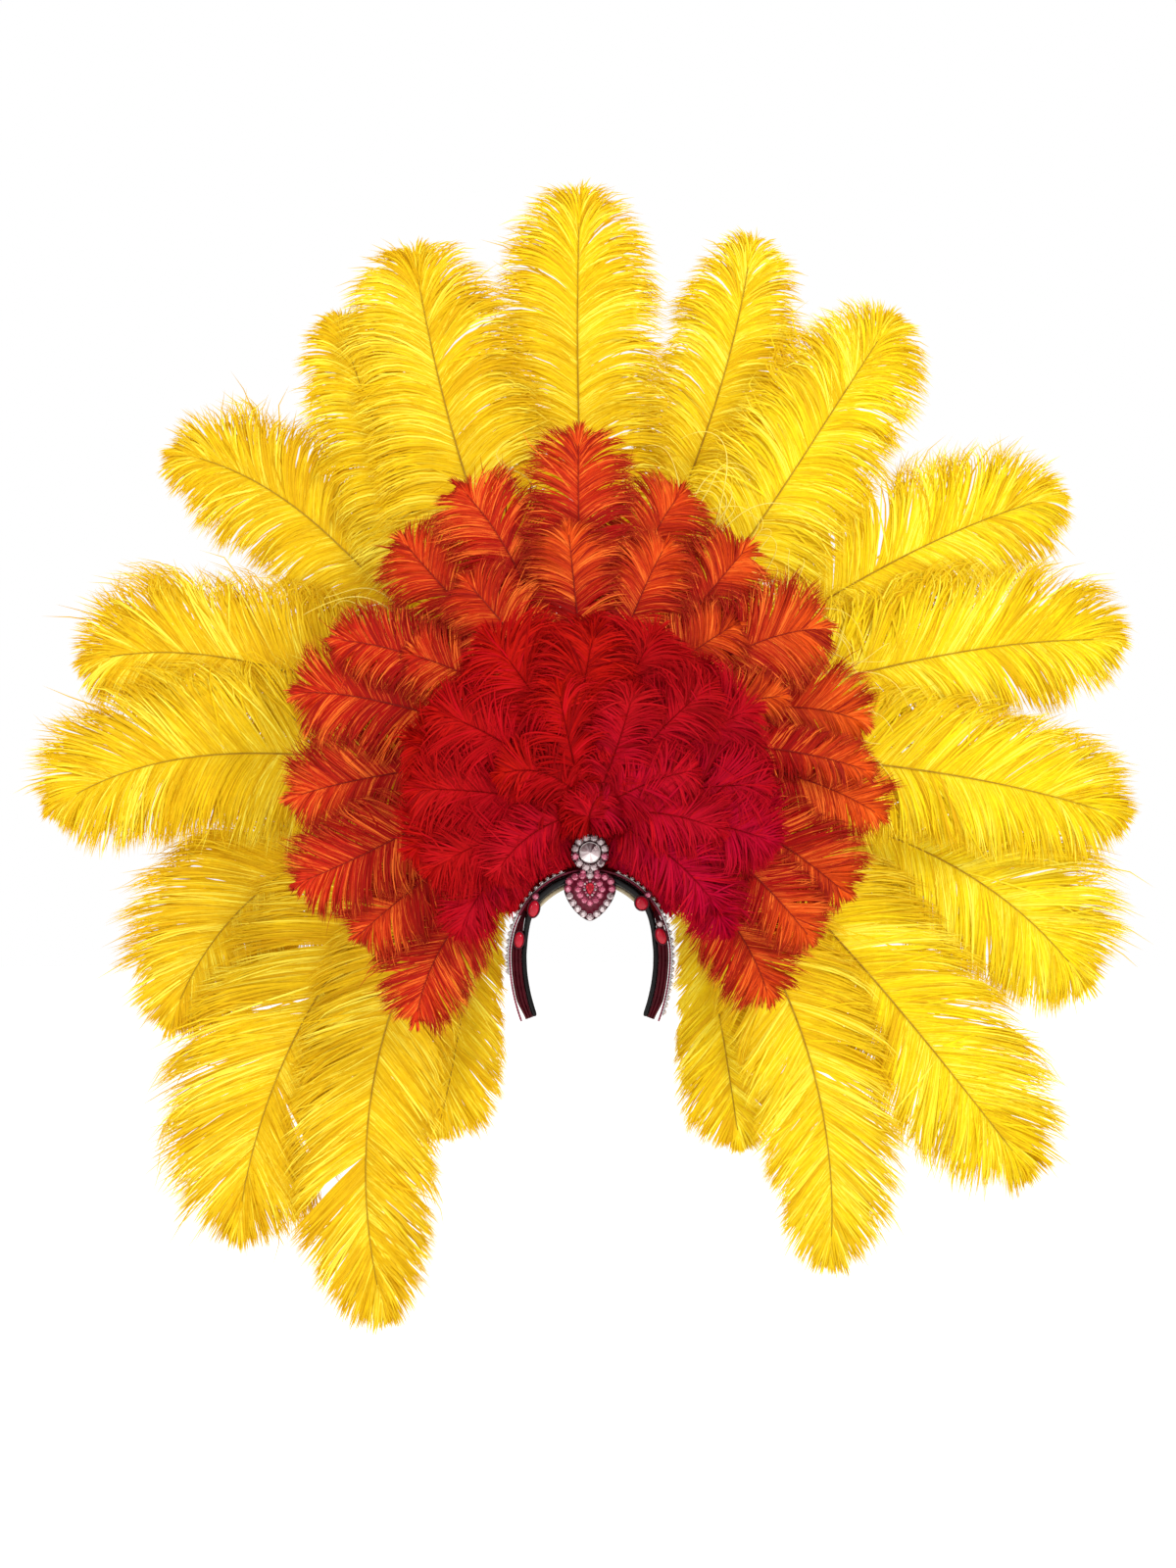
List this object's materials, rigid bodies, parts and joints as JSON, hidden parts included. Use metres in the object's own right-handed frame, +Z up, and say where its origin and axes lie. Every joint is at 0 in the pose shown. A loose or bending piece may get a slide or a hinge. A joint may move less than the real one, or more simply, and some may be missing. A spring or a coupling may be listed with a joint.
{
  "type": "carnival feather headdress",
  "caption": "Worn headdress: a jewelled arched headband with a heart medallion and crystal finial, carrying a fan of yellow, orange and red ostrich plumes.",
  "frame": {"origin": "where the comfort strip rests on the crown of the head, at the top of the arch", "axes": "+Z up, +Y towards the back of the head, +X to the right as seen from the front"},
  "size_m": [1.2134, 0.1797, 1.2616],
  "materials": {
    "satin_maroon": "satin with a soft gloss",
    "patent_black": "glossy patent",
    "rose_satin": "satin cord",
    "cream_ribbed": "ribbed ribbon",
    "clear_stone": "foiled cut stones",
    "pink_stone": "foiled cut stones",
    "ruby": "polished",
    "plate_felt": "matt felt",
    "plume_yellow": "dyed ostrich feather",
    "plume_orange": "dyed ostrich feather",
    "plume_red": "dyed ostrich feather"
  },
  "bodies": {
    "root": {"headband_shell": "satin_maroon", "side_panel_left": "satin_maroon", "side_panel_right": "satin_maroon", "front_piping": "patent_black", "rose_piping": "rose_satin", "comfort_strip": "cream_ribbed", "edge_stones_left": "clear_stone", "edge_stones_right": "clear_stone", "finial_ring": "clear_stone", "finial_crystal": "clear_stone", "medallion": "pink_stone", "medallion_pear": "ruby", "cabochon_upper_left": "ruby", "cabochon_lower_left": "ruby", "cabochon_upper_right": "ruby", "cabochon_lower_right": "ruby", "backing_plate": "plate_felt", "plume_yellow_01": "plume_yellow", "plume_yellow_02": "plume_yellow", "plume_yellow_03": "plume_yellow", "plume_yellow_04": "plume_yellow", "plume_yellow_05": "plume_yellow", "plume_yellow_06": "plume_yellow", "plume_yellow_07": "plume_yellow", "plume_yellow_08": "plume_yellow", "plume_yellow_09": "plume_yellow", "plume_yellow_10": "plume_yellow", "plume_yellow_11": "plume_yellow", "plume_yellow_12": "plume_yellow", "plume_yellow_13": "plume_yellow", "plume_yellow_14": "plume_yellow", "plume_yellow_15": "plume_yellow", "plume_yellow_16": "plume_yellow", "plume_yellow_17": "plume_yellow", "plume_yellow_18": "plume_yellow", "plume_yellow_19": "plume_yellow", "plume_orange_01": "plume_orange", "plume_orange_02": "plume_orange", "plume_orange_03": "plume_orange", "plume_orange_04": "plume_orange", "plume_orange_05": "plume_orange", "plume_orange_06": "plume_orange", "plume_orange_07": "plume_orange", "plume_orange_08": "plume_orange", "plume_orange_09": "plume_orange", "plume_orange_10": "plume_orange", "plume_orange_11": "plume_orange", "plume_orange_12": "plume_orange", "plume_orange_13": "plume_orange", "plume_orange_14": "plume_orange", "plume_orange_15": "plume_orange", "plume_orange_16": "plume_orange", "plume_red_01": "plume_red", "plume_red_02": "plume_red", "plume_red_03": "plume_red", "plume_red_04": "plume_red", "plume_red_05": "plume_red", "plume_red_06": "plume_red", "plume_red_07": "plume_red", "plume_red_08": "plume_red"}
  },
  "joints": []
}
